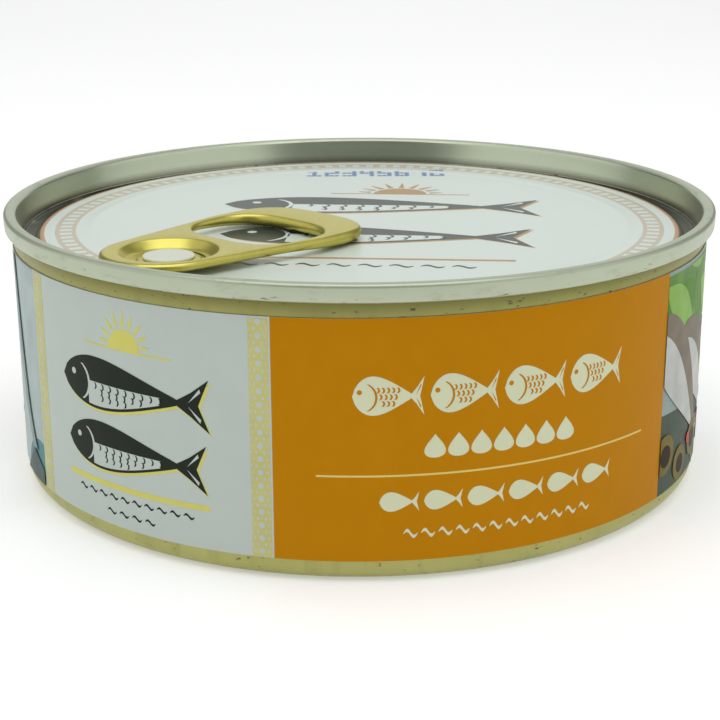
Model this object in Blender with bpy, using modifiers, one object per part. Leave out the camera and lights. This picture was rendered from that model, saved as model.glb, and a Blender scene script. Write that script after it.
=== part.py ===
"""A shut round fish tin: a drawn can, a seamed lid with a ring pull, and a paper label round the side.

Sizes are in metres and +Z is up. The origin is the middle of the circle that the tin stands on.
The middle of the label's front faces -Y, and the ring pull lies at the front left of the lid.
"""

import math

import bmesh
import bpy
from mathutils import Matrix, Vector
from mathutils.geometry import convex_hull_2d

# Driving sizes of the tin
TIN_HEIGHT = 0.0385
SEAM_RADIUS = 0.05115
SEAM_HEIGHT = 0.0025
SEAM_WIDTH = 0.0015
CAN_RADIUS = 0.04975
CORNER_RADIUS = 0.0024
CLEARANCE = 0.0003
TURN_STEPS = 80

# The lid's pressing: depths are measured down from the top of the seam
PANEL_RADIUS = 0.0464
PANEL_DEPTH = 0.0036
GROOVE_DEPTH = 0.0043
SHEET = 0.0005
CHUCK_WALL_RADIUS = 0.0487

# The can's foot
FOOT_OUTER_RADIUS = CAN_RADIUS - CORNER_RADIUS
FOOT_INNER_RADIUS = 0.0452
BASE_PANEL_RISE = 0.0012
BASE_BEAD_RADIUS = 0.0300
BASE_BEAD_WIDTH = 0.0036
BASE_BEAD_DROP = 0.0006

# The paper label
LABEL_BOTTOM = 0.0030
LABEL_TOP = 0.0341
LABEL_RADIUS = 0.0501
LABEL_THICKNESS = 0.00012

# The ring pull, along its own length: 0 is the rivet, and + runs towards the middle of the lid
RIVET_DISTANCE = 0.0375
RIVET_AZIMUTH = math.radians(-43.2)
RIVET_RADIUS = 0.0021
RIVET_HEAD_RADIUS = 0.0034
RIVET_HEAD_HEIGHT = 0.0004
RIVET_CLEARANCE = 0.0002
TAB_THICKNESS = 0.0017
TAB_EDGE = 0.0007
TAB_LIFT = 0.0004
NOSE_RADIUS = 0.0083
FINGER_CENTRE = 0.0205
FINGER_HALF_LENGTH = 0.0102
FINGER_HALF_WIDTH = 0.0110
FINGER_SQUARENESS = 3.0
HOLE_CENTRE = 0.0169
HOLE_HALF_LENGTH = 0.0071
HOLE_HALF_WIDTH = 0.0090
HOLE_SQUARENESS = 2.45
WELL_TOP_RADIUS = 0.0065
WELL_FLOOR_RADIUS = 0.0052
WELL_FLOOR = 0.0004
EDGE_STEPS = 3

# Heights that follow from the driving sizes
PANEL_TOP = TIN_HEIGHT - PANEL_DEPTH
GROOVE_TOP = TIN_HEIGHT - GROOVE_DEPTH
SEAM_BOTTOM = TIN_HEIGHT - SEAM_HEIGHT
TAB_BOTTOM = PANEL_TOP + TAB_LIFT
WELL_FLOOR_TOP = TAB_BOTTOM + WELL_FLOOR
RIVET_HEAD_BOTTOM = WELL_FLOOR_TOP + RIVET_CLEARANCE


def material(name, colour, roughness, metallic):
    """A plain Principled material in linear colour."""
    made = bpy.data.materials.new(name)
    made.use_nodes = True
    shader = made.node_tree.nodes["Principled BSDF"]
    shader.inputs["Base Color"].default_value = (*colour, 1.0)
    shader.inputs["Roughness"].default_value = roughness
    shader.inputs["Metallic"].default_value = metallic
    return made


def collection(name):
    made = bpy.data.collections.new(name)
    bpy.context.scene.collection.children.link(made)
    return made


def arc(centre, radius, start, end, count):
    """Points (r, z) along an arc. Angles are in degrees, 0 outwards and 90 up."""
    points = []
    for step in range(count + 1):
        angle = math.radians(start + (end - start) * step / count)
        points.append((centre[0] + radius * math.cos(angle), centre[1] + radius * math.sin(angle)))
    return points


def add_object(name, mesh, group, finish):
    made = bpy.data.objects.new(name, mesh)
    group.objects.link(made)
    mesh.materials.append(finish)
    return made


def turned(name, profile, group, finish, ring=False):
    """A turned solid. The profile runs down its outer side, from axis to axis or, for a ring, all the way round."""
    mesh = bpy.data.meshes.new(name)
    edges = [(index, index + 1) for index in range(len(profile) - 1)]
    if ring:
        edges.append((len(profile) - 1, 0))
    mesh.from_pydata([(r, 0.0, z) for r, z in profile], edges, [])
    made = add_object(name, mesh, group, finish)
    screw = made.modifiers.new("Turn", "SCREW")
    screw.axis = "Z"
    screw.steps = TURN_STEPS
    screw.render_steps = TURN_STEPS
    screw.use_merge_vertices = True
    screw.merge_threshold = 0.00001
    screw.use_smooth_shade = True
    return made


def evaluated_mesh(source):
    """The object's mesh with its modifiers or its curve bevel made real, and its loose caps welded."""
    graph = bpy.context.evaluated_depsgraph_get()
    mesh = bpy.data.meshes.new_from_object(source.evaluated_get(graph))
    shape = bmesh.new()
    shape.from_mesh(mesh)
    bmesh.ops.remove_doubles(shape, verts=shape.verts, dist=0.000001)
    shape.to_mesh(mesh)
    shape.free()
    return mesh


def as_cutter(made):
    made.hide_render = True
    made.display_type = "WIRE"
    return made


def add_boolean(target, other, operation):
    boolean = target.modifiers.new(operation.title(), "BOOLEAN")
    boolean.operation = operation
    boolean.solver = "EXACT"
    boolean.object = other


def can_profile():
    """The filled can: its top follows the underside of the lid, and its wall rises inside the seam."""
    top = PANEL_TOP - SHEET - CLEARANCE
    groove = GROOVE_TOP - SHEET - CLEARANCE
    wall_inside = CHUCK_WALL_RADIUS + SHEET + CLEARANCE
    wall_top = SEAM_BOTTOM - CLEARANCE
    base = BASE_PANEL_RISE
    profile = [(0.0, top), (PANEL_RADIUS - 0.0009, top), (PANEL_RADIUS - 0.0001, groove)]
    profile += [(wall_inside, groove), (wall_inside, wall_top), (CAN_RADIUS, wall_top)]
    profile += arc((FOOT_OUTER_RADIUS, CORNER_RADIUS), CORNER_RADIUS, 0, -90, 6)
    profile += [(FOOT_INNER_RADIUS, 0.0), (FOOT_INNER_RADIUS - 0.0010, base)]
    bead_half = BASE_BEAD_WIDTH / 2
    profile += [(BASE_BEAD_RADIUS + bead_half, base), (BASE_BEAD_RADIUS + bead_half / 2, base - BASE_BEAD_DROP)]
    profile += [(BASE_BEAD_RADIUS - bead_half / 2, base - BASE_BEAD_DROP), (BASE_BEAD_RADIUS - bead_half, base)]
    profile += [(0.0, base)]
    return profile


def lid_profile():
    """The pressed lid: panel, groove round it, upright wall, and the rolled seam that grips the can."""
    roll = SEAM_WIDTH / 2
    roll_centre = (SEAM_RADIUS - roll, TIN_HEIGHT - roll)
    profile = [(0.0, PANEL_TOP), (PANEL_RADIUS - 0.0005, PANEL_TOP), (PANEL_RADIUS, PANEL_TOP - 0.0002)]
    profile += [(PANEL_RADIUS + 0.0004, GROOVE_TOP), (CHUCK_WALL_RADIUS - 0.0004, GROOVE_TOP)]
    profile += [(CHUCK_WALL_RADIUS, GROOVE_TOP + 0.0004), (CHUCK_WALL_RADIUS + 0.0002, SEAM_BOTTOM + 0.0006)]
    profile += arc(roll_centre, roll, 180, 0, 8)
    profile += [(SEAM_RADIUS, SEAM_BOTTOM + 0.0006)]
    profile += arc((SEAM_RADIUS - 0.0005, SEAM_BOTTOM + 0.0005), 0.0005, 0, -90, 3)
    wall_outside = CHUCK_WALL_RADIUS + SHEET
    groove_underside = GROOVE_TOP - SHEET
    profile += [(wall_outside, SEAM_BOTTOM), (wall_outside, groove_underside + 0.0004)]
    profile += [(wall_outside - 0.0004, groove_underside), (PANEL_RADIUS + 0.0001, groove_underside)]
    profile += [(PANEL_RADIUS - 0.0007, PANEL_TOP - SHEET), (0.0, PANEL_TOP - SHEET)]
    return profile


def label_profile():
    inner = LABEL_RADIUS - LABEL_THICKNESS
    return [(LABEL_RADIUS, LABEL_TOP), (LABEL_RADIUS, LABEL_BOTTOM), (inner, LABEL_BOTTOM), (inner, LABEL_TOP)]


def rivet_profile():
    """A button on a stem. The stem starts inside the panel, so that the two join."""
    head_top = RIVET_HEAD_BOTTOM + RIVET_HEAD_HEIGHT
    edge = 0.0002
    return [(0.0, head_top), (RIVET_HEAD_RADIUS - edge, head_top), (RIVET_HEAD_RADIUS, head_top - edge),
            (RIVET_HEAD_RADIUS, RIVET_HEAD_BOTTOM), (RIVET_RADIUS, RIVET_HEAD_BOTTOM),
            (RIVET_RADIUS, PANEL_TOP - SHEET / 2), (0.0, PANEL_TOP - SHEET / 2)]


def squarish_oval(centre, half_length, half_width, squareness, count):
    """A superellipse: 2 gives an ellipse, and more gives squarer corners."""
    outline = []
    power = 2 / squareness
    for step in range(count):
        angle = 2 * math.pi * step / count
        along = math.cos(angle)
        across = math.sin(angle)
        x = math.copysign(abs(along) ** power, along) * half_length
        y = math.copysign(abs(across) ** power, across) * half_width
        outline.append((centre + x, y))
    return outline


def tab_outline(inset):
    """The hull of the round nose and the squarish finger end, both drawn in by the inset."""
    points = arc((0.0, 0.0), NOSE_RADIUS - inset, 90, 270, 16)
    points += squarish_oval(FINGER_CENTRE, FINGER_HALF_LENGTH - inset, FINGER_HALF_WIDTH - inset,
                            FINGER_SQUARENESS, 48)
    return [points[index] for index in convex_hull_2d(points)]


def hole_outline(outset):
    return squarish_oval(HOLE_CENTRE, HOLE_HALF_LENGTH + outset, HOLE_HALF_WIDTH + outset, HOLE_SQUARENESS, 36)


def tab_plate(group):
    """The ring pull's plate with rounded edges, from a filled flat curve, centred on its thickness."""
    curve = bpy.data.curves.new("tab_outline", "CURVE")
    curve.dimensions = "2D"
    curve.fill_mode = "BOTH"
    curve.extrude = TAB_THICKNESS / 2 - TAB_EDGE
    curve.bevel_depth = TAB_EDGE
    curve.bevel_resolution = EDGE_STEPS - 1
    for outline in (tab_outline(TAB_EDGE), hole_outline(TAB_EDGE)):
        spline = curve.splines.new("POLY")
        spline.points.add(len(outline) - 1)
        for point, (x, y) in zip(spline.points, outline):
            point.co = (x, y, 0.0, 1.0)
        spline.use_cyclic_u = True
    guide = bpy.data.objects.new("tab_guide", curve)
    group.objects.link(guide)
    bpy.context.view_layer.update()
    mesh = evaluated_mesh(guide)
    bpy.data.objects.remove(guide)
    return mesh


def well_cutter(group, finish):
    """Cuts the dished well round the rivet and the hole that the rivet's stem passes through."""
    mouth = TAB_THICKNESS + 0.0010
    slope = (WELL_TOP_RADIUS - WELL_FLOOR_RADIUS) / (TAB_THICKNESS - WELL_FLOOR)
    mouth_radius = WELL_FLOOR_RADIUS + slope * (mouth - WELL_FLOOR)
    stem_hole = RIVET_RADIUS + CLEARANCE
    profile = [(0.0, mouth), (mouth_radius, mouth), (WELL_FLOOR_RADIUS, WELL_FLOOR), (stem_hole, WELL_FLOOR),
               (stem_hole, -0.0010), (0.0, -0.0010)]
    return as_cutter(turned("well_cutter", profile, group, finish))


def lid_place():
    """Puts the ring pull's own axes on the lid: its length runs from the rim to the middle."""
    x = RIVET_DISTANCE * math.sin(RIVET_AZIMUTH)
    y = -RIVET_DISTANCE * math.cos(RIVET_AZIMUTH)
    return Matrix.Translation(Vector((x, y, 0.0))) @ Matrix.Rotation(math.atan2(-y, -x), 4, "Z")


def build():
    for old in list(bpy.data.objects):
        bpy.data.objects.remove(old)
    parts = collection("fish_tin")
    cutters = collection("cutters")

    lacquer = material("gold_lacquer", (0.33, 0.31, 0.12), 0.35, 0.8)
    coated = material("grey_coated_tinplate", (0.42, 0.46, 0.34), 0.4, 0.6)
    brass = material("tab_lacquer", (0.48, 0.40, 0.10), 0.3, 0.9)
    paper = material("label_paper", (0.50, 0.54, 0.52), 0.5, 0.0)

    turned("can_body", can_profile(), parts, lacquer)
    turned("label", label_profile(), parts, paper, ring=True)

    place = lid_place()
    lid = turned("lid", lid_profile(), parts, coated)
    rivet = turned("rivet", rivet_profile(), cutters, coated)
    rivet.matrix_world = place
    as_cutter(rivet)
    add_boolean(lid, rivet, "UNION")

    tab = add_object("tab", tab_plate(cutters), parts, brass)
    tab.data.transform(Matrix.Translation((0.0, 0.0, TAB_THICKNESS / 2)))
    well = well_cutter(cutters, brass)
    add_boolean(tab, well, "DIFFERENCE")
    resting = place @ Matrix.Translation((0.0, 0.0, TAB_BOTTOM))
    tab.matrix_world = resting
    well.matrix_world = resting


build()
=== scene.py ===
"""A shut round fish tin with a ring pull and a printed paper label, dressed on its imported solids.

Shapes are worked in millimetres and brought to metres as each piece is finished.
Azimuth 0 faces -Y, where the label's front is, and azimuths grow towards +X.
"""

import math

import bmesh
import bpy
from mathutils import Matrix, Vector
from mathutils.geometry import convex_hull_2d


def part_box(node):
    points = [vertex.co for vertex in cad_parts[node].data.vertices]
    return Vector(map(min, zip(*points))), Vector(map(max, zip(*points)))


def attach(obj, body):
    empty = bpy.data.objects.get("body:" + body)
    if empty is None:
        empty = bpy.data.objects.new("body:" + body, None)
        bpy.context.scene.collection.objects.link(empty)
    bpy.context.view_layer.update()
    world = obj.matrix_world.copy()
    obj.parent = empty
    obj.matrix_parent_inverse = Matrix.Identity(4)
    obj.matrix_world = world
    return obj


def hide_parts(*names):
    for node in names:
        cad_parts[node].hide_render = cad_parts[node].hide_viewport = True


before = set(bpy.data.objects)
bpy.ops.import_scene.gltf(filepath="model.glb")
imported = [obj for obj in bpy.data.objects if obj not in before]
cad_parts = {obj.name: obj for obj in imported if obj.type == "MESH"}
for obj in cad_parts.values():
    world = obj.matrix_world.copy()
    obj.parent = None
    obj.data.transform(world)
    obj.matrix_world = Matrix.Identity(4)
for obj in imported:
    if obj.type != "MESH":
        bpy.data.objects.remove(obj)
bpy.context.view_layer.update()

MM = 0.001


def node_radius_and_heights(node):
    low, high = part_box(node)
    return high[0] / MM, low[2] / MM, high[2] / MM


# Sizes of the tin, read from its solids
SEAM_RADIUS, _, TIN_TOP = node_radius_and_heights("lid")
LABEL_RADIUS, LABEL_LOW, LABEL_HIGH = node_radius_and_heights("label")

# The lid's pressing
PANEL_RADIUS = 46.4
PANEL_HEIGHT = TIN_TOP - 3.6
GROOVE_HEIGHT = TIN_TOP - 4.4
SEAM_ROLL = 0.75
SEAM_LENGTH = 2.4
SHEET = 0.25

# The can
CAN_RADIUS = 49.93
CAN_CORNER = 2.4
FOOT_INNER = 45.6
BASE_RISE = 1.2

# The ring pull, along its own length: 0 is the rivet, and + runs towards the middle of the lid.
# The finger's end and hole are squarish ovals: where their middle is, half their length and half their width.
RIVET_DISTANCE = 37.5
RIVET_AZIMUTH = math.radians(-43.2)
TAB_LOW = PANEL_HEIGHT + 0.4
TAB_THICKNESS = 1.7
TAB_EDGE = 0.7
TAB_THINNING = 0.5
NOSE_RADIUS = 8.3
FINGER_END = (20.5, 10.2, 11.0)
FINGER_HOLE = (16.9, 7.1, 9.0)
SQUARENESS = 3.0
WELL_CENTRE = (0.5, -0.55)
WELL_RADIUS = 6.9
WELL_LIP = 0.5
SLOT_RADII = (4.3, 4.75)
SLOT_DEPTH = 0.24
STEM_HOLE = 2.5

# Where the label's fields meet, in degrees of azimuth; the whole print comes twice round the tin
WHITE_START = -60.0
ORANGE_START = -12.3
PICTURE_START = 53.2
PRINT_TURN = 180.0
PRINT_LOW = LABEL_LOW + 0.05
PRINT_HIGH = LABEL_HIGH - 0.35
LABEL_TILT = 0.23
INK = 0.015
INK_STEP = 1.6

# The photograph's camera, as fitted to its edges: metres, and degrees below the horizon
CAMERA_PLACE = (0.0, -0.22616, 0.08492)
CAMERA_PITCH = 17.61
CAMERA_ROLL = -0.0037
CAMERA_LENS = 78.25

# The studio's lamps: name, place in metres, size and power
LAMPS = (("overhead", (0.0, -0.1, 0.9), 0.9, 4.5),
         ("back_light", (0.0, 1.0, 0.46), 0.9, 1.6),
         ("left_fill", (-0.92, -0.24, 0.42), 1.6, 4.7),
         ("right_fill", (0.9, -0.3, 0.42), 1.6, 4.5))

# How finely round shapes are cut, and the strokes in the lid's printed ring
TURN_STEPS = 240
STROKE_COUNT = 114
STEPS_PER_STROKE = 4


def rgb(red, green, blue):
    """A colour as read off a screen, 0 to 255, made linear."""
    linear = []
    for value in (red, green, blue):
        share = value / 255
        linear.append(share / 12.92 if share <= 0.04045 else ((share + 0.055) / 1.055) ** 2.4)
    return (*linear, 1.0)


class Wire:
    """A number's socket in a shader, which takes part in sums as a number does."""

    def __init__(self, finish, socket):
        self.finish = finish
        self.socket = socket

    def maths(self, operation, *others):
        values = {0: self}
        for index, other in enumerate(others):
            values[index + 1] = other
        return self.finish.wire("ShaderNodeMath", {"operation": operation}, values)

    def __add__(self, other):
        return self.maths("ADD", other)

    def __mul__(self, other):
        return self.maths("MULTIPLY", other)

    def __sub__(self, other):
        return self.maths("SUBTRACT", other)

    __radd__ = __add__
    __rmul__ = __mul__

    def above(self, edge, softness):
        """0 below the edge, rising to 1 over the softness."""
        return self.finish.wire("ShaderNodeMapRange", {"clamp": True},
                                {0: self, 1: edge, 2: edge + softness, 3: 0.0, 4: 1.0})

    def below(self, edge, softness):
        return self.finish.wire("ShaderNodeMapRange", {"clamp": True},
                                {0: self, 1: edge - softness, 2: edge, 3: 1.0, 4: 0.0})


class Finish:
    """One material: its Principled shader, and the nodes that vary it over the surface."""

    def __init__(self, name, **numbers):
        self.material = bpy.data.materials.new(name)
        self.material.use_nodes = True
        self.tree = self.material.node_tree
        self.shader = self.tree.nodes["Principled BSDF"]
        for socket, value in numbers.items():
            self.shader.inputs[socket.replace("_", " ")].default_value = value
        self.place = self.node("ShaderNodeTexCoord").outputs["Object"]

    def node(self, kind, settings=None, values=None):
        made = self.tree.nodes.new(kind)
        for setting, value in (settings or {}).items():
            setattr(made, setting, value)
        for key, value in (values or {}).items():
            socket = made.inputs[key]
            if isinstance(value, Wire):
                self.tree.links.new(value.socket, socket)
            elif isinstance(value, bpy.types.NodeSocket):
                self.tree.links.new(value, socket)
            else:
                socket.default_value = value
        return made

    def wire(self, kind, settings=None, values=None):
        return Wire(self, self.node(kind, settings, values).outputs[0])

    def stretched(self, x, y, z):
        """Object coordinates stretched along each axis."""
        return self.node("ShaderNodeMapping", None, {"Vector": self.place, "Scale": (x, y, z)}).outputs[0]

    def noise(self, scale, detail=3.0, vector=None, roughness=0.5):
        values = {"Vector": vector or self.place, "Scale": scale, "Detail": detail, "Roughness": roughness}
        return self.wire("ShaderNodeTexNoise", None, values)

    def height(self):
        return Wire(self, self.node("ShaderNodeSeparateXYZ", None, {0: self.place}).outputs["Z"])

    def mix(self, share, first, second):
        made = self.node("ShaderNodeMix", {"data_type": "RGBA"}, {0: share, 6: first, 7: second})
        return made.outputs[2]

    def colour(self, value):
        self.feed("Base Color", value)

    def feed(self, name, value):
        source = value.socket if isinstance(value, Wire) else value
        self.tree.links.new(source, self.shader.inputs[name])

    def bump(self, height, distance):
        made = self.node("ShaderNodeBump", None, {"Height": height, "Distance": distance})
        self.feed("Normal", made.outputs[0])


def gold_lacquer():
    """Clear gold lacquer over tinplate: satin, with faint draw lines up the wall and small dark scuffs, and
    painted shade darkening the wall towards the seam's underside.
    """
    made = Finish("gold_lacquer", Metallic=0.75, Roughness=0.36)
    cloud = made.noise(90, 4)
    draw_lines = made.noise(420, 2, made.stretched(1, 1, 0.03))
    base = made.mix(cloud, rgb(158, 156, 92), rgb(186, 184, 118))
    lined = made.mix(draw_lines.above(0.55, 0.2) * 0.35, base, rgb(132, 128, 70))
    scuffs = made.noise(700, 4, made.stretched(1, 1, 2.2), 0.65).above(0.645, 0.03)
    # Painted shade: the gold is darkened towards the top, where the seam overhangs it.
    painted_shade_under_seam = made.height().above((LABEL_HIGH - 0.8) * MM, 0.0026)
    shaded = made.mix(painted_shade_under_seam, lined, rgb(116, 114, 60))
    made.colour(made.mix(scuffs * 0.8, shaded, rgb(60, 52, 32)))
    made.feed("Roughness", 0.3 + 0.16 * cloud)
    made.bump(draw_lines, 0.00002)
    return made.material


def seam_metal():
    """The seam: grey-green lacquered tinplate, nicked and worn along its lower edge."""
    made = Finish("seam_metal", Metallic=0.62, Roughness=0.42)
    cloud = made.noise(70, 4)
    base = made.mix(cloud, rgb(178, 186, 163), rgb(191, 199, 176))
    rub = made.noise(260, 5, made.stretched(1, 1, 3.0), 0.65).above(0.56, 0.12)
    rubbed = made.mix(rub * 0.35, base, rgb(168, 172, 148))
    nick_spot = made.noise(430, 4, made.stretched(1, 1, 3.5), 0.7).above(0.635, 0.02)
    low_edge = made.height().below((TIN_TOP - 1.0) * MM, 0.0012)
    nicks = nick_spot * low_edge
    wear_spot = made.noise(190, 5, made.stretched(1, 1, 5.0), 0.7).above(0.575, 0.08)
    wear = wear_spot * made.height().below((TIN_TOP - 1.7) * MM, 0.0005)
    worn = made.mix(wear * 0.6, rubbed, rgb(116, 104, 66))
    made.colour(made.mix(nicks * 0.85, worn, rgb(70, 58, 42)))
    made.feed("Roughness", 0.38 + 0.12 * rub)
    made.bump(rub * 0.4 - nicks, 0.00004)
    return made.material


def wall_metal():
    """The pressed wall inside the seam: smoother than the seam, so that it mirrors what stands round it, with
    painted shade darkening its foot by the groove.
    """
    made = Finish("wall_metal", Metallic=0.96, Roughness=0.24)
    cloud = made.noise(60, 3)
    # Painted shade: the wall's colour darkens towards its foot, down by the groove.
    foot = made.height().below((PANEL_HEIGHT + 0.9) * MM, 0.0012)
    base = made.mix(cloud, rgb(198, 206, 182), rgb(214, 222, 198))
    made.colour(made.mix(foot * 0.6, base, rgb(84, 84, 68)))
    made.feed("Roughness", 0.2 + 0.12 * cloud)
    made.bump(made.noise(45, 2), 0.00015)
    return made.material


def groove_painted_shade_and_glint():
    """The pressed groove round the panel: painted shade as a dark base colour, with brighter marks of painted
    reflection over it.
    """
    made = Finish("groove_painted_shade_and_glint", Metallic=0.7, Roughness=0.3)
    # Painted reflection: brighter marks laid over the painted shade of the groove.
    painted_reflection_streaks = made.noise(130, 3).above(0.6, 0.1)
    made.colour(made.mix(painted_reflection_streaks * 0.7, rgb(62, 60, 46), rgb(180, 182, 154)))
    return made.material


def panel_coating(name, colour, second, gloss=0.5):
    """Printed coating on the lid's panel, with a slow waviness in the sheet under it."""
    made = Finish(name, Roughness=0.32, Specular_IOR_Level=gloss)
    cloud = made.noise(60, 3)
    specks = made.noise(1600, 2).above(0.74, 0.03)
    base = made.mix(cloud * 0.5, colour, second)
    made.colour(made.mix(specks * 0.25, base, rgb(120, 120, 110)))
    sheet_wave = made.noise(34, 2)
    made.bump(sheet_wave, 0.0004)
    return made.material


def tab_lacquer(name="tab_lacquer", colour=(219, 209, 112), dark=(189, 178, 82)):
    """Brass-coloured lacquer on the stamped ring pull: fine brushing, with paler brush lines."""
    made = Finish(name, Metallic=0.88, Roughness=0.3)
    cloud = made.noise(160, 4)
    brush = made.noise(700, 3, made.stretched(1.0, 0.12, 1.0))
    base = made.mix(cloud, rgb(*dark), rgb(*colour))
    made.colour(made.mix(brush.above(0.5, 0.25) * 0.25, base, rgb(226, 218, 122)))
    made.feed("Roughness", 0.24 + 0.18 * cloud)
    made.bump(brush, 0.00002)
    return made.material


def printed(name, colour, spread=0.06, roughness=0.42):
    """Ink on semi-gloss paper: a faint mottle, and the paper's grain in the gloss."""
    made = Finish(name, Roughness=roughness, Specular_IOR_Level=0.06)
    mottle = made.noise(240, 4)
    grain = made.noise(2600, 2)
    shade = tuple(value * (1 - spread) for value in rgb(*colour)[:3]) + (1.0,)
    light = tuple(min(1.0, value * (1 + spread)) for value in rgb(*colour)[:3]) + (1.0,)
    made.colour(made.mix(mottle, shade, light))
    made.feed("Roughness", roughness - 0.08 + 0.16 * grain)
    made.bump(grain, 0.000008)
    return made.material


def arc(centre, radius, start, end, count):
    """Points along an arc. Angles are in degrees, 0 outwards and 90 up."""
    points = []
    for step in range(count + 1):
        angle = math.radians(start + (end - start) * step / count)
        points.append((centre[0] + radius * math.cos(angle), centre[1] + radius * math.sin(angle)))
    return points


def finish_piece(name, shape, materials, stands_for=(), sharp=32):
    """Brings a shape to metres and makes it a piece that rides on the tin."""
    bmesh.ops.scale(shape, vec=Vector((MM, MM, MM)), verts=shape.verts)
    mesh = bpy.data.meshes.new(name)
    shape.to_mesh(mesh)
    shape.free()
    for material in materials:
        mesh.materials.append(material)
    mesh.shade_smooth()
    mesh.set_sharp_from_angle(angle=math.radians(sharp))
    piece = bpy.data.objects.new(name, mesh)
    bpy.context.scene.collection.objects.link(piece)
    if stands_for:
        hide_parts(*stands_for)
    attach(piece, "root")


def spun(profile, steps=TURN_STEPS):
    """A closed turned shape from a profile that starts and ends on the axis."""
    shape = bmesh.new()
    verts = [shape.verts.new((r, 0.0, z)) for r, z in profile]
    edges = [shape.edges.new(pair) for pair in zip(verts, verts[1:])]
    bmesh.ops.spin(shape, geom=verts + edges, cent=(0, 0, 0), axis=(0, 0, 1), angle=2 * math.pi,
                   steps=steps, use_merge=True)
    bmesh.ops.remove_doubles(shape, verts=shape.verts, dist=0.0005)
    bmesh.ops.recalc_face_normals(shape, faces=shape.faces)
    return shape


def can_wall():
    """The drawn can, filled up to the lid's underside, with its rounded foot and its base panel."""
    under_lid = GROOVE_HEIGHT - 0.6
    wall_inside = CAN_RADIUS - 0.43
    wall_top = TIN_TOP - 2.1
    profile = [(0, under_lid), (wall_inside, under_lid), (wall_inside, wall_top), (CAN_RADIUS, wall_top)]
    profile += [(CAN_RADIUS, LABEL_HIGH), (CAN_RADIUS, LABEL_LOW)]
    profile += arc((CAN_RADIUS - CAN_CORNER, CAN_CORNER), CAN_CORNER, 0, -90, 14)
    profile += arc((FOOT_INNER, 0.5), 0.5, -90, -160, 5)
    profile += arc((FOOT_INNER - 1.6, BASE_RISE - 0.6), 0.6, 20, 90, 6)
    profile += [(32.0, BASE_RISE)]
    profile += arc((30.0, BASE_RISE + 1.6), 2.2, -50, -130, 10)
    profile += [(28.0, BASE_RISE), (14.0, BASE_RISE), (0, BASE_RISE)]
    finish_piece("can_wall", spun(profile), [gold_lacquer()], ["can_body"])


# The lid's printed rings, as the radius where each field ends, from the middle out
PANEL_FIELDS = ((41.2, "white"), (41.8, "tan"), (43.5, "strokes"), (44.15, "tan"), (45.65, "white"),
                (46.35, "copper"))
# The faint ring pressed up round the panel: radius, and height over the panel
RAISED_RING = ((37.6, 0.0), (38.0, 0.03), (38.6, 0.14), (39.2, 0.14), (39.8, 0.03), (40.2, 0.0))


def lid_profile():
    top = PANEL_HEIGHT
    under = PANEL_HEIGHT - SHEET
    groove = GROOVE_HEIGHT
    profile = [(0, top), (12, top), (24, top)] + [(radius, top + rise) for radius, rise in RAISED_RING]
    profile += [(radius, top) for radius, _ in PANEL_FIELDS[:-1]]
    profile += arc((PANEL_RADIUS - 0.4, top - 0.4), 0.4, 90, 10, 5)
    profile += arc((PANEL_RADIUS + 0.75, groove + 0.4), 0.4, 190, 270, 4)
    profile += arc((48.35, groove + 0.5), 0.5, -90, -5, 5)
    profile += [(49.0, TIN_TOP - 2.4), (49.35, TIN_TOP - 1.2)]
    profile += arc((SEAM_RADIUS - 1.05, TIN_TOP - SEAM_ROLL), SEAM_ROLL, 168, 90, 7)
    profile += arc((SEAM_RADIUS - 0.5, TIN_TOP - 0.52), 0.5, 86, 0, 7)
    low = TIN_TOP - SEAM_LENGTH
    profile += [(SEAM_RADIUS - 0.03, TIN_TOP - 1.3)]
    profile += arc((SEAM_RADIUS - 0.5, low + 0.45), 0.45, 0, -90, 6)
    profile += [(50.0, low + 0.05), (50.0, TIN_TOP - 1.9), (49.45, TIN_TOP - 1.9), (49.3, low)]
    profile += [(48.95, groove + 0.4), (48.5, groove - SHEET), (PANEL_RADIUS + 0.6, groove - SHEET)]
    profile += [(PANEL_RADIUS - 0.1, groove + 0.1), (PANEL_RADIUS - 0.5, under), (0, under)]
    return profile


def lid():
    """The pressed lid in one piece: the printed panel, the bare groove and wall, and the seam."""
    steps = STROKE_COUNT * STEPS_PER_STROKE
    shape = spun(lid_profile(), steps)
    finishes = {"metal": seam_metal(),
                "white": panel_coating("panel_white", rgb(222, 232, 224), rgb(212, 223, 215)),
                "tan": panel_coating("panel_tan", rgb(200, 190, 168), rgb(207, 199, 180), 0.4),
                "copper": panel_coating("panel_copper", rgb(198, 150, 112), rgb(184, 134, 96)),
                "groove": groove_painted_shade_and_glint(),
                "wall": wall_metal()}
    order = list(finishes)
    for face in shape.faces:
        middle = face.calc_center_median()
        radius = math.hypot(middle.x, middle.y)
        kind = "metal"
        if face.normal.z > 0.5 and middle.z > PANEL_HEIGHT - 0.3:
            inside = [field for edge, field in PANEL_FIELDS if radius < edge]
            kind = inside[0] if inside else "metal"
        if kind == "metal" and PANEL_RADIUS - 0.35 < radius < 48.8 and middle.z < PANEL_HEIGHT + 0.2:
            kind = "groove"
        elif kind == "metal" and radius < 49.5 and middle.z > PANEL_HEIGHT - 0.2:
            kind = "wall"
        if kind == "strokes":
            turn = math.degrees(math.atan2(middle.y, middle.x)) % 360 / 360 * steps
            kind = "tan" if turn % STEPS_PER_STROKE < 2 else "white"
        face.material_index = order.index(kind)
    finish_piece("lid_pressing", shape, list(finishes.values()), ["lid"])


def on_lid():
    """Puts the ring pull's own axes on the lid: its length runs from the rim to the middle."""
    x = RIVET_DISTANCE * math.sin(RIVET_AZIMUTH)
    y = -RIVET_DISTANCE * math.cos(RIVET_AZIMUTH)
    return Matrix.Translation(Vector((x, y, 0.0))) @ Matrix.Rotation(math.atan2(-y, -x), 4, "Z")


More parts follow.
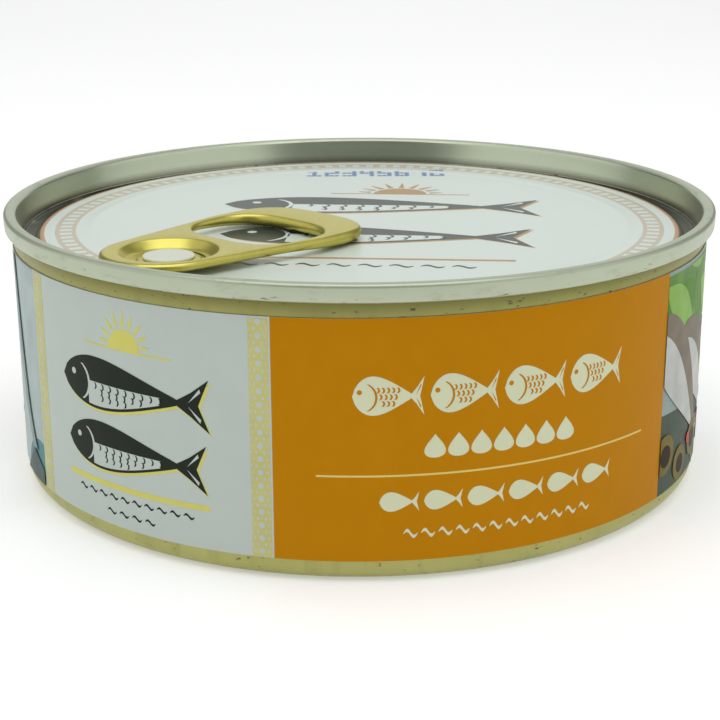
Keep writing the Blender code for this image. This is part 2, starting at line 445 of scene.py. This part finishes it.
def squarish_oval(centre, half_length, half_width, squareness, count):
    """A superellipse: 2 gives an ellipse, and more gives squarer corners."""
    outline = []
    power = 2 / squareness
    for step in range(count):
        angle = 2 * math.pi * step / count
        along = math.cos(angle)
        across = math.sin(angle)
        x = math.copysign(abs(along) ** power, along) * half_length
        y = math.copysign(abs(across) ** power, across) * half_width
        outline.append((centre + x, y))
    return outline


def even_steps(outline, count):
    """The closed outline again, with its points spread evenly along it."""
    ends = [Vector(point) for point in outline]
    ends.append(ends[0])
    lengths = [(b - a).length for a, b in zip(ends, ends[1:])]
    pitch = sum(lengths) / count
    points = []
    index = 0
    passed = 0.0
    for step in range(count):
        while passed + lengths[index] < step * pitch:
            passed += lengths[index]
            index += 1
        share = (step * pitch - passed) / lengths[index]
        points.append(ends[index].lerp(ends[index + 1], share))
    return points


def drawn_in(points, distance):
    """The outline moved inwards by the distance, point by point. It runs anticlockwise."""
    moved = []
    for index, point in enumerate(points):
        run = points[(index + 1) % len(points)] - points[index - 1]
        inward = Vector((-run.y, run.x)).normalized()
        moved.append(point + inward * distance)
    return moved


def add_loop(shape, points, z):
    heights = z if isinstance(z, list) else [z] * len(points)
    verts = [shape.verts.new((point[0], point[1], height)) for point, height in zip(points, heights)]
    return [shape.edges.new((verts[index - 1], verts[index])) for index in range(len(verts))]


def join_loops(shape, loops):
    for first, second in zip(loops, loops[1:]):
        bmesh.ops.bridge_loops(shape, edges=first + second)


def circle(radius, count, centre=(0.0, 0.0)):
    return [Vector(point) for point in arc(centre, radius, 0, 360 - 360 / count, count - 1)]


def tab():
    """The ring pull: a stamped plate with rolled edges, a dished well and a curved slot round the rivet."""
    low = TAB_LOW
    top = TAB_LOW + TAB_THICKNESS
    nose = arc((0.0, 0.0), NOSE_RADIUS, 90, 270, 40)
    finger = squarish_oval(*FINGER_END, SQUARENESS, 120)
    hull = [Vector((nose + finger)[index]) for index in convex_hull_2d(nose + finger)]
    outer = even_steps(hull, 128)
    hole = even_steps(squarish_oval(*FINGER_HOLE, SQUARENESS, 120), 96)
    shape = bmesh.new()

    def underside(along_tab):
        """The plate is thinner over the rivet and thicker where it curls under at the finger's end."""
        share = max(0.0, min(1.0, (along_tab - 12.0) / 12.0))
        return low + TAB_THINNING * (1 - share * share * (3 - 2 * share))

    def rolled(points, side):
        """Loops round an edge from its top to its bottom. side is 1 for the rim and -1 for a hole."""
        loops = []
        for angle in range(90, -91, -15):
            turn = math.radians(angle)
            heights = []
            for point in points:
                bottom = underside(point[0])
                heights.append((top + bottom) / 2 + (top - bottom) / 2 * math.sin(turn))
            loops.append(add_loop(shape, drawn_in(points, side * TAB_EDGE * (1 - math.cos(turn))), heights))
        return loops

    rim = rolled(outer, 1)
    eye = rolled(hole, -1)
    join_loops(shape, rim)
    join_loops(shape, eye)

    floor = low + 0.45

    def well_circle(radius):
        return circle(radius, 72, WELL_CENTRE)

    slot_floor = []
    for point in circle(1.0, 72):
        towards_middle = math.atan2(point.y, point.x) + math.radians(35)
        slot_floor.append(floor - SLOT_DEPTH * max(0.0, min(1.0, 3.0 * (math.cos(towards_middle) - 0.1))))
    slot_inner, slot_outer = SLOT_RADII
    well_levels = [(WELL_RADIUS, top)]
    for bend in (0.35, 0.7, 1.05):
        lip = (WELL_LIP * math.sin(bend), WELL_LIP * (1 - math.cos(bend)))
        well_levels.append((WELL_RADIUS - lip[0], top - lip[1]))
    well_levels += [(5.75, floor + 0.3), (5.45, floor + 0.06), (5.1, floor), (slot_outer + 0.1, floor)]
    well_levels += [(slot_outer, slot_floor), (slot_inner, slot_floor), (slot_inner - 0.1, floor + 0.1)]
    well_levels += [(3.9, floor + 0.22), (STEM_HOLE, floor + 0.22), (STEM_HOLE, low + TAB_THINNING - 0.3)]
    well = [add_loop(shape, well_circle(radius), z) for radius, z in well_levels]
    join_loops(shape, well)
    bmesh.ops.triangle_fill(shape, edges=rim[0] + eye[0] + well[0], use_beauty=True)
    bmesh.ops.triangle_fill(shape, edges=rim[-1] + eye[-1] + well[-1], use_beauty=True)
    bmesh.ops.recalc_face_normals(shape, faces=shape.faces)
    for face in shape.faces:
        middle = face.calc_center_median()
        radius = math.hypot(middle.x - WELL_CENTRE[0], middle.y - WELL_CENTRE[1])
        in_slot = slot_inner - 0.08 < radius < slot_outer + 0.08 and low + 0.21 < middle.z < floor - 0.06
        face.material_index = 1 if in_slot else 0
    bmesh.ops.transform(shape, matrix=on_lid(), verts=shape.verts)
    # The second finish is a dark copy of the lacquer for the slot's faces: painted shade down in the slot.
    finishes = [tab_lacquer(), tab_lacquer("slot_shade", (70, 62, 34), (48, 42, 24))]
    finish_piece("ring_pull", shape, finishes, ["tab"], 40)


def rivet():
    """The rivet's flattened button, coated white like the panel, with its stem down to the panel."""
    low = TAB_LOW + 0.74
    top = low + 0.3
    profile = [(0, top - 0.1), (1.2, top - 0.08), (1.9, top)]
    profile += [(3.1, top)] + arc((3.25, top - 0.2), 0.2, 90, -90, 6)
    profile += [(2.2, low), (2.1, PANEL_HEIGHT + 0.15), (2.3, PANEL_HEIGHT - 0.05), (0, PANEL_HEIGHT - 0.05)]
    shape = spun(profile, 64)
    bmesh.ops.translate(shape, vec=(*WELL_CENTRE, 0.0), verts=shape.verts)
    bmesh.ops.transform(shape, matrix=on_lid(), verts=shape.verts)
    white = panel_coating("rivet_white", rgb(222, 226, 208), rgb(208, 213, 194))
    finish_piece("rivet_button", shape, [white])


def around(angle, radius, z):
    """The point at an azimuth in degrees on the tin's side."""
    turn = math.radians(angle)
    return Vector((radius * math.sin(turn), -radius * math.cos(turn), z))


def wrap(shape, radius):
    """Bends a shape drawn flat, x along the label from azimuth 0 and y outwards, round the tin."""
    for vert in shape.verts:
        angle = math.degrees(vert.co.x / LABEL_RADIUS)
        vert.co = around(angle, radius + vert.co.y, vert.co.z)


def label():
    """The paper label in one closed band, whose faces take the colours of its printed fields."""
    shape = bmesh.new()
    inner = LABEL_RADIUS - 0.13
    corners = ((LABEL_RADIUS, LABEL_HIGH), (LABEL_RADIUS, LABEL_LOW), (inner, LABEL_LOW), (inner, LABEL_HIGH))
    picture_end = WHITE_START + PRINT_TURN
    fields = []
    for turn in (0.0, PRINT_TURN):
        borders = [turn + angle for angle in (WHITE_START, ORANGE_START, PICTURE_START, picture_end)]
        fields += list(zip(borders, borders[1:]))
    for start, end in fields:
        verts = [shape.verts.new(around(start, r, z)) for r, z in corners]
        edges = [shape.edges.new((verts[index - 1], verts[index])) for index in range(4)]
        bmesh.ops.spin(shape, geom=verts + edges, cent=(0, 0, 0), axis=(0, 0, 1),
                       angle=math.radians(end - start), steps=round((end - start) / 1.2))
    bmesh.ops.remove_doubles(shape, verts=shape.verts, dist=0.002)
    bmesh.ops.recalc_face_normals(shape, faces=shape.faces)
    for face in shape.faces:
        middle = face.calc_center_median()
        angle = (math.degrees(math.atan2(middle.x, -middle.y)) - WHITE_START) % PRINT_TURN + WHITE_START
        outside = math.hypot(middle.x, middle.y) > LABEL_RADIUS - 0.03
        kind = 0 if angle < ORANGE_START else 1 if angle < PICTURE_START else 2
        face.material_index = kind if outside else 3
    for vert in shape.verts:
        if vert.co.z > LABEL_HIGH - 1:
            vert.co.z += LABEL_TILT * vert.co.x / LABEL_RADIUS
    finishes = [printed("label_white", (193, 203, 196), 0.03), printed("label_orange", (192, 128, 0), 0.05),
                printed("label_picture_ground", (150, 164, 160), 0.2), printed("label_edge", (206, 206, 198))]
    finish_piece("label_paper", shape, finishes, ["label"])


def along(angle):
    """Millimetres along the label at an azimuth in degrees."""
    return math.radians(angle) * LABEL_RADIUS


# Printed motifs, drawn flat in millimetres as outlines

def bar(x, z, length, height):
    low = z - height / 2
    high = z + height / 2
    return [(x, low), (x + length, low), (x + length, high), (x, high)]


def disc(x, z, radius, count=20):
    return arc((x, z), radius, 0, 360 - 360 / count, count - 1)


def disc_half(x, z, radius):
    return arc((x, z), radius, 0, 180, 24)


def crescent(x, z, reach, thickness):
    """A thin crescent that opens to the left."""
    outside = arc((x, z), reach, -62, 62, 12)
    inside = arc((x - thickness, z), reach, 62, -62, 12)
    return outside + inside


def lozenge(x, z, half_width, half_height):
    return [(x - half_width, z), (x, z - half_height), (x + half_width, z), (x, z + half_height)]


def turned_by(outline, angle, centre):
    turn = math.radians(angle)
    turned = []
    for x, z in outline:
        right = x - centre[0]
        up = z - centre[1]
        turned.append((centre[0] + right * math.cos(turn) - up * math.sin(turn),
                       centre[1] + right * math.sin(turn) + up * math.cos(turn)))
    return turned


def fish_rise(share):
    """How far a fish's outline stands off its middle line, as a share of its height."""
    swell = math.sin(math.pi * share ** 0.72) ** 0.9 if 0 < share < 1 else 0.0
    return swell * (0.5 - 0.16 * share) + 0.05 * share


def placed(outline, x, z, length, height):
    return [(x + along * length, z + rise * height) for along, rise in outline]


def fish_body(x, z, length, height):
    """A plain fish facing left: a long oval that runs into a forked tail."""
    shares = [step / 24 for step in range(25)]
    upper = [(share * 0.82, fish_rise(share)) for share in shares]
    lower = [(along, -0.92 * rise) for along, rise in reversed(upper[1:])]
    tail = [(0.90, 0.20), (1.0, 0.44), (0.94, 0.0), (1.0, -0.44), (0.90, -0.20)]
    return placed(upper + tail + lower, x, z, length, height)


def fish_belly(x, z, length, height):
    """The unprinted belly of a fish, which leaves its back and a line round it."""
    shares = [0.27 + 0.055 * step for step in range(12)]
    belly = [(share * 0.82, 0.03) for share in shares]
    belly += [(share * 0.82, -0.92 * fish_rise(share) + 0.05) for share in reversed(shares)]
    return placed(belly, x, z, length, height)


def fish_cuts(x, z, length, height):
    """What else is left unprinted in a fish: its eye, its gill and two slits in the tail."""
    slits = [[(0.885, 0.03 * side), (0.955, 0.22 * side), (0.95, 0.28 * side)][::side] for side in (1, -1)]
    cuts = [placed(outline, x, z, length, height) for outline in slits]
    cuts.append(disc(x + 0.10 * length, z + 0.10 * height, 0.055 * height))
    cuts.append(crescent(x + 0.13 * length, z - 0.02 * height, 0.34 * height, 0.05 * height))
    return cuts


def fish_scales(x, z, length, height):
    """Rows of small crescents over the belly."""
    scales = []
    for row in range(4):
        fall = 0.035 + 0.095 * row
        for step in range(9 - 2 * row):
            share = 0.27 + 0.045 * (row % 2) + 0.055 * step + 0.05 * (row > 1)
            if fall + 0.1 < 0.92 * fish_rise(share / 0.82):
                spot = (x + share * length, z - fall * height)
                scales.append(crescent(*spot, 0.062 * height, 0.032 * height))
    return scales


def drop(x, z, size):
    """An oil drop, pointed at the top."""
    outline = []
    for step in range(24):
        angle = 2 * math.pi * step / 24
        width = math.sin(angle) * math.sin(angle / 2) ** 1.5
        outline.append((x + 0.62 * size * width, z + 0.5 * size * math.cos(angle)))
    return outline


def wave(x, z, length, rise, thickness):
    """A stroke of one wave, thin at its ends."""
    count = 14
    upper = []
    lower = []
    for step in range(count + 1):
        share = step / count
        lift = rise * math.sin(2 * math.pi * share)
        half = thickness / 2 * (0.25 + math.sin(math.pi * share) ** 0.5 * 0.75)
        upper.append((x + share * length, z + lift + half))
        lower.append((x + share * length, z + lift - half))
    return upper + lower[::-1]


def leaf(x, z, length, width, angle):
    outline = []
    for step in range(28):
        share = step / 28
        side = 1 if share < 0.5 else -1
        along = share * 2 if share < 0.5 else 2 - share * 2
        outline.append((x + along * length, z + side * width / 2 * math.sin(math.pi * along ** 0.85)))
    return turned_by(outline, angle, (x, z))


def sun_rays(x, z, inner, outer, count, half_width):
    """Narrow rays over the upper half of a sun, longer towards the middle."""
    rays = []
    for step in range(count):
        angle = math.radians(12 + 156 * step / (count - 1))
        reach = inner + (outer - inner) * (0.55 + 0.45 * math.sin(angle) ** 2)
        across = Vector((-math.sin(angle), math.cos(angle))) * half_width
        start = Vector((math.cos(angle), math.sin(angle))) * inner
        tip = Vector((math.cos(angle), math.sin(angle))) * reach
        corners = (start + across, tip + across * 0.2, tip - across * 0.2, start - across)
        rays.append([(x + corner.x, z + corner.y) for corner in corners][::-1])
    return rays


def clipped(outline, left, right, low, high):
    """The part of an outline that lies inside an upright box."""
    sides = ((0, left, 1), (0, right, -1), (1, low, 1), (1, high, -1))
    points = list(outline)
    for axis, edge, sign in sides:
        kept = []
        for index, point in enumerate(points):
            before = points[index - 1]
            depth = (point[axis] - edge) * sign
            depth_before = (before[axis] - edge) * sign
            if (depth >= 0) != (depth_before >= 0):
                share = depth_before / (depth_before - depth)
                kept.append(tuple(b + (p - b) * share for b, p in zip(before, point)))
            if depth >= 0:
                kept.append(point)
        points = kept
    return points


def slabs(outlines, layer):
    """Flat ink shapes as thin closed slabs, x along the label, z up and y outwards."""
    shape = bmesh.new()
    for outline in outlines:
        verts = [shape.verts.new((x, INK * (layer - 1.5), z)) for x, z in outline]
        shape.faces.new(verts)
    shape.normal_update()
    bmesh.ops.triangulate(shape, faces=shape.faces, ngon_method="EAR_CLIP")
    raised = bmesh.ops.extrude_face_region(shape, geom=shape.faces[:])
    tops = [item for item in raised["geom"] if isinstance(item, bmesh.types.BMVert)]
    bmesh.ops.translate(shape, vec=(0, INK * 2.0, 0), verts=tops)
    bmesh.ops.recalc_face_normals(shape, faces=shape.faces)
    return shape


def print_on_label(name, outlines, material, layer=1, repeats=(0.0, PRINT_TURN)):
    """Lays ink shapes on the label's side. Outlines are in millimetres along the label from azimuth 0."""
    whole = [[(x + math.radians(turn) * LABEL_RADIUS, z) for x, z in outline]
             for turn in repeats for outline in outlines]
    shape = slabs(whole, layer)
    low = math.floor(min(vert.co.x for vert in shape.verts) / INK_STEP)
    high = math.ceil(max(vert.co.x for vert in shape.verts) / INK_STEP)
    for step in range(low, high + 1):
        bmesh.ops.bisect_plane(shape, geom=shape.verts[:] + shape.edges[:] + shape.faces[:], dist=0.0001,
                               plane_co=((step + 0.23) * INK_STEP, 0, 0), plane_no=(1, 0, 0))
    wrap(shape, LABEL_RADIUS)
    finish_piece(name, shape, [material])


def print_lace():
    """Two borders of a plain braid: a gold strip with a row of pale eyes and small lozenges between them."""
    strips = []
    eyes = []
    pitch = 1.74
    for start, width in ((-59.6, 2.8), (-15.45, 2.5)):
        middle = along(start) + width / 2
        strips.append(bar(middle - width / 2, (PRINT_LOW + PRINT_HIGH) / 2, width, PRINT_HIGH - PRINT_LOW))
        for step in range(18):
            z = LABEL_LOW + 0.8 + step * pitch
            eyes.append(disc(middle, z, 0.4, 16))
            for side in (-1, 1):
                eyes.append(lozenge(middle + side * width * 0.36, z, 0.16, 0.2))
                if step < 17:
                    eyes.append(lozenge(middle + side * width * 0.2, z + pitch / 2, 0.2, 0.26))
                    eyes.append(lozenge(middle + side * width * 0.44, z + pitch / 2, 0.14, 0.26))
    print_on_label("lace_gold", strips, printed("lace_gold_ink", (202, 197, 130), 0.12))
    print_on_label("lace_eyes", eyes, printed("lace_white_ink", (192, 202, 196), 0.04), 2)


def print_white_panel():
    """On the white field: a half sun over a horizon, two fish with a gold edge, a rule and rows of waves."""
    centre = along(-35.9)
    rule_left = along(-50.0)
    sun_foot = 27.4
    gold = [bar(centre - 7.5, sun_foot - 0.1, 15.0, 0.22), disc_half(centre, sun_foot, 2.7)]
    gold += sun_rays(centre, sun_foot, 3.1, 5.2, 9, 0.28)
    gold += [bar(rule_left, 8.5, along(-21.9) - rule_left, 0.75)]
    fish = ((centre - 12.6, 21.9, 25.2, 7.9), (centre - 12.0, 13.5, 24.0, 7.4))
    bodies = [fish_body(*place) for place in fish]
    gold += [[(x + 0.3, z - 0.32) for x, z in outline] for outline in bodies]
    print_on_label("gold_motifs", gold, printed("gold_ink", (214, 208, 112), 0.08))
    dark = printed("dark_ink", (40, 46, 38), 0.15, 0.38)
    print_on_label("dark_fish", bodies, dark, 2)
    waves = [wave(along(-47.4) + step * 2.05, 7.0, 1.6, 0.26, 0.34) for step in range(10)]
    waves += [wave(along(-41.0) + step * 2.25, 4.9, 1.7, 0.26, 0.34) for step in range(4)]
    print_on_label("dark_waves", waves, dark)
    paper = printed("fish_cut_ink", (193, 203, 196), 0.04)
    cuts = [cut for place in fish for cut in [fish_belly(*place)] + fish_cuts(*place)]
    print_on_label("fish_cuts", cuts, paper, 3)
    print_on_label("fish_scales", [scale for place in fish for scale in fish_scales(*place)], dark, 4)


def print_orange_panel():
    """On the orange field, in off-white: a shoal of fish, drops of oil, a rule, small fish and waves."""
    first = along(-1.1)
    pitch = (along(42.0) - first) / 4
    shoal = [(first + step * pitch, 24.4, pitch * 0.92, 5.6) for step in range(4)]
    pale = [fish_body(*place) for place in shoal]
    pale += [drop(along(10.4) + step * 2.95, 17.9, 3.1) for step in range(7)]
    pale += [fish_body(along(2.6) + step * 5.5, 10.8, 4.9, 2.9) for step in range(6)]
    pale += [wave(along(6.0) + step * 2.2, 6.6, 1.75, 0.42, 0.5) for step in range(12)]
    print_on_label("pale_motifs", pale, printed("off_white_ink", (218, 222, 188), 0.04))
    orange = printed("shoal_cut_ink", (192, 128, 0), 0.05)
    cuts = [cut for place in shoal for cut in fish_cuts(*place)]
    for x, z, length, height in shoal:
        for row in range(3):
            for step in range(5 - row):
                spot = (x + (0.34 + 0.07 * step + 0.035 * row) * length, z + (0.14 - 0.15 * row) * height)
                cuts.append(crescent(*spot, 0.07 * height, 0.045 * height))
    print_on_label("shoal_cuts", cuts, orange, 2)
    rule_left = along(-6.2)
    rule = [bar(rule_left, 14.25, along(47.0) - rule_left, 0.26)]
    print_on_label("orange_rule", rule, printed("rule_ink", (226, 206, 122), 0.05))


def print_picture():
    """The picture field: a flat still life of leaves, silver fish, cut olives, berries and a bowl's edge."""
    left = along(PICTURE_START)
    right = along(WHITE_START + PRINT_TURN)
    width = right - left
    low = PRINT_LOW
    high = PRINT_HIGH
    clip = (left, right, low, high)

    def inside(outlines):
        return [clipped(outline, *clip) for outline in outlines]

    cloth = [[(left + 0.60 * width, low), (right, low), (right, high), (left + 0.68 * width, high)]]
    print_on_label("picture_cloth", inside(cloth), printed("cloth_ink", (176, 190, 188), 0.2), 1)
    table = [[(left, low), (left + 0.64 * width, low), (left + 0.58 * width, low + 9), (left, low + 11.5)]]
    print_on_label("picture_table", inside(table), printed("table_ink", (76, 88, 76), 0.35), 1)
    green = [[(left, 21.5), (left + 0.2 * width, 24.5), (left + 0.5 * width, 23.0),
              (left + 0.62 * width, high), (left, high)]]
    print_on_label("picture_greenery", inside(green), printed("greenery_ink", (104, 142, 72), 0.5), 1)
    leaves = []
    for step in range(11):
        leaves.append(leaf(left - 4 + step * 3.7, 34.2 - (step % 3) * 1.9, 10.0 + step % 2 * 3, 5.0,
                           -58 + 23 * (step % 4)))
    print_on_label("picture_leaves", inside(leaves[::2]), printed("leaf_ink", (92, 138, 48), 0.4), 2)
    leaf_light = printed("leaf_light_ink", (140, 180, 92), 0.3)
    print_on_label("picture_leaves_light", inside(leaves[1::2]), leaf_light, 3)
    back_ink = printed("fish_back_ink", (128, 118, 102), 0.4)
    side_ink = printed("fish_side_ink", (196, 197, 193), 0.3)
    for step in range(3):
        middle = (left + 27.5 - step * 10.2, 14.4 + step * 1.6)
        outline = fish_body(middle[0] - 15.0, middle[1], 31.0, 10.5)
        side = [(x * 0.92 + middle[0] * 0.08, z * 0.62 + middle[1] * 0.38 - 1.6) for x, z in outline]
        angle = -32 - 7 * step
        layer = 4 + 2 * step
        back = inside([turned_by(outline, angle, middle)])
        belly = inside([turned_by(side, angle, middle)])
        print_on_label(f"picture_fish_back_{step}", back, back_ink, layer)
        print_on_label(f"picture_fish_side_{step}", belly, side_ink, layer + 1)
    olives = ((1.4, 8.6, 2.9), (7.0, 5.9, 2.5), (13.4, 7.6, 2.7), (24.5, 6.0, 2.6))
    rings = [disc(left + x, z, size, 28) for x, z, size in olives]
    hollows = [disc(left + x + 0.2, z - 0.2, size * 0.55, 20) for x, z, size in olives]
    print_on_label("picture_olives", inside(rings), printed("olive_ink", (120, 108, 52), 0.3), 10)
    hollow_ink = printed("olive_hollow_ink", (48, 34, 20), 0.3)
    print_on_label("picture_olive_hollows", inside(hollows), hollow_ink, 11)
    berries = [disc(left + x, z, 0.85) for x, z in ((10.8, 8.3), (19.2, 9.2), (21.5, 11.8), (30.0, 7.0))]
    print_on_label("picture_berries", inside(berries), printed("berry_ink", (200, 66, 58), 0.2), 12)
    bowl = [disc(right - 1.5, 2.0, 7.2, 40)]
    print_on_label("picture_bowl", inside(bowl), printed("bowl_ink", (92, 136, 140), 0.25), 2)
    edge = [(10.4 - 5.6 * share - 2.0 * share ** 6, high - (high - 7.5) * share) for share in
            [step / 12 for step in range(13)]]
    fold = [[(right - x, z) for x, z in edge] + [(right - x + 0.5, z) for x, z in reversed(edge)]]
    print_on_label("picture_fold", inside(fold), printed("fold_ink", (92, 106, 106), 0.3), 11)
    shade = [[(right - x - 1.8, z) for x, z in edge] + [(right - x, z) for x, z in reversed(edge)]]
    print_on_label("picture_fold_shade", inside(shade), printed("fold_shade_ink", (140, 158, 158), 0.3), 10)
    ground = [[(right - 9.0, low), (right, low), (right, low + 2.2), (right - 4.0, low + 4.4)]]
    print_on_label("picture_ground_edge", inside(ground), printed("ground_edge_ink", (84, 98, 94), 0.4), 12)


def overlap():
    """The raised cut edge of the paper, where the label's end laps over its start at the back."""
    left = along(WHITE_START - 0.35)
    right = along(WHITE_START + 0.05)
    low = LABEL_LOW + 0.02
    high = LABEL_HIGH - 0.2
    edge = [(left, low), (right, low), (right, high), (left, high)]
    print_on_label("label_overlap", [edge], printed("label_cut_edge", (204, 208, 200)), 13, (PRINT_TURN,))


def print_on_panel(name, outlines, material, layer=1):
    """Lays ink shapes on the lid's panel. Outlines are in millimetres, x to the right and y to the back."""
    shape = slabs(outlines, layer)
    flat = Matrix(((1, 0, 0, 0), (0, 0, 1, 0), (0, 1, 0, PANEL_HEIGHT), (0, 0, 0, 1)))
    bmesh.ops.transform(shape, matrix=flat, verts=shape.verts)
    bmesh.ops.recalc_face_normals(shape, faces=shape.faces)
    finish_piece(name, shape, [material])


# The plain digits 1 to 8 as a coding machine dots them, three dots by five, and the digits' places
DOT_DIGITS = ("-o- oo- -o- -o- ooo", "ooo --o ooo o-- ooo", "ooo --o ooo --o ooo", "o-o o-o ooo --o --o",
              "ooo o-- ooo --o ooo", "ooo o-- ooo o-o ooo", "ooo --o --o --o --o", "ooo o-o ooo o-o ooo")
CODE_LEFT = -8.4
CODE_BACK = 38.2
DIGIT_PITCH = 2.95
DOT_PITCH = (0.82, 1.12)
DOT_RADIUS = 0.46


def print_lid():
    """On the lid: a half sun, two fish with a copper edge, a rule, a row of waves and plain numbers."""
    def turned(outlines):
        return [turned_by(outline, -4.4, (4.5, 0.0)) for outline in outlines]

    fish = ((-21.5, 9.2, 48.0, 12.8), (-19.0, -11.0, 44.0, 12.6))
    bodies = [fish_body(*place) for place in fish]
    sun_foot = (5.0, 18.5)
    copper = [bar(-6.0, 18.3, 22.0, 0.35), disc_half(*sun_foot, 4.2)]
    copper += sun_rays(*sun_foot, 4.8, 8.3, 9, 0.45)
    copper += [bar(-17.0, -24.3, 39.5, 0.75)]
    copper += [[(x + 0.4, y - 0.5) for x, y in outline] for outline in bodies]
    copper_ink = panel_coating("lid_copper_ink", rgb(188, 150, 98), rgb(172, 132, 80), 0.25)
    print_on_panel("lid_copper_motifs", turned(copper), copper_ink)
    dark = panel_coating("lid_dark_ink", rgb(60, 68, 60), rgb(76, 84, 74), 0.3)
    print_on_panel("lid_fish", turned(bodies), dark, 2)
    waves = [wave(-14.5 + step * 4.1, -28.0, 3.2, 0.55, 0.7) for step in range(8)]
    print_on_panel("lid_waves", turned(waves), dark)
    cuts = [cut for place in fish for cut in [fish_belly(*place)] + fish_cuts(*place)]
    white = panel_coating("lid_cut_ink", rgb(222, 232, 224), rgb(212, 223, 215))
    print_on_panel("lid_fish_cuts", turned(cuts), white, 3)
    scales = [scale for place in fish for scale in fish_scales(*place)]
    print_on_panel("lid_fish_scales", turned(scales), dark, 4)
    dots = []
    for place, digit in enumerate(DOT_DIGITS):
        left = CODE_LEFT + place * DIGIT_PITCH
        for row, line in enumerate(digit.split()):
            dots += [disc(left + column * DOT_PITCH[0], CODE_BACK - row * DOT_PITCH[1], DOT_RADIUS, 8)
                     for column, mark in enumerate(line) if mark == "o"]
    blue = panel_coating("blue_dot_ink", rgb(84, 132, 192), rgb(72, 116, 178), 0.3)
    print_on_panel("lid_blue_dots", dots, blue)


def stage():
    """A pale floor, a soft overhead light with fills, and the camera at the photograph's angle."""
    scene = bpy.context.scene
    scene.view_settings.view_transform = "Standard"
    shape = bmesh.new()
    bmesh.ops.create_grid(shape, x_segments=1, y_segments=1, size=3.0)
    mesh = bpy.data.meshes.new("floor")
    shape.to_mesh(mesh)
    shape.free()
    floor = bpy.data.objects.new("floor", mesh)
    scene.collection.objects.link(floor)
    ground = bpy.data.materials.new("floor")
    ground.use_nodes = True
    pale = ground.node_tree.nodes["Principled BSDF"].inputs
    pale["Base Color"].default_value = (0.86, 0.86, 0.86, 1)
    pale["Roughness"].default_value = 0.8
    pale["Emission Color"].default_value = (1, 1, 1, 1)
    pale["Emission Strength"].default_value = 0.33
    mesh.materials.append(ground)

    world = bpy.data.worlds.new("studio")
    world.use_nodes = True
    surroundings = world.node_tree.nodes["Background"].inputs
    surroundings["Color"].default_value = (0.94, 1.0, 0.96, 1)
    surroundings["Strength"].default_value = 0.2
    scene.world = world

    for name, place, size, power in LAMPS:
        light = bpy.data.lights.new(name, "AREA")
        light.size = size
        light.energy = power
        lamp = bpy.data.objects.new(name, light)
        lamp.visible_camera = False
        lamp.location = place
        lamp.rotation_euler = (Vector((0, 0, 0.02)) - Vector(place)).to_track_quat("-Z", "Y").to_euler()
        scene.collection.objects.link(lamp)

    camera = bpy.data.cameras.new("camera")
    camera.lens = CAMERA_LENS
    camera.sensor_width = 36.0
    camera.clip_start = 0.01
    camera.dof.use_dof = True
    camera.dof.focus_distance = 0.2
    camera.dof.aperture_fstop = 190
    viewer = bpy.data.objects.new("camera", camera)
    pitch = Matrix.Rotation(math.radians(90 - CAMERA_PITCH), 4, "X")
    roll = Matrix.Rotation(CAMERA_ROLL, 4, "Z")
    viewer.matrix_world = Matrix.Translation(CAMERA_PLACE) @ pitch @ roll
    scene.collection.objects.link(viewer)
    scene.camera = viewer


stage()
can_wall()
lid()
rivet()
tab()
label()
print_lace()
print_white_panel()
print_orange_panel()
print_picture()
overlap()
print_lid()

bpy.context.view_layer.update()
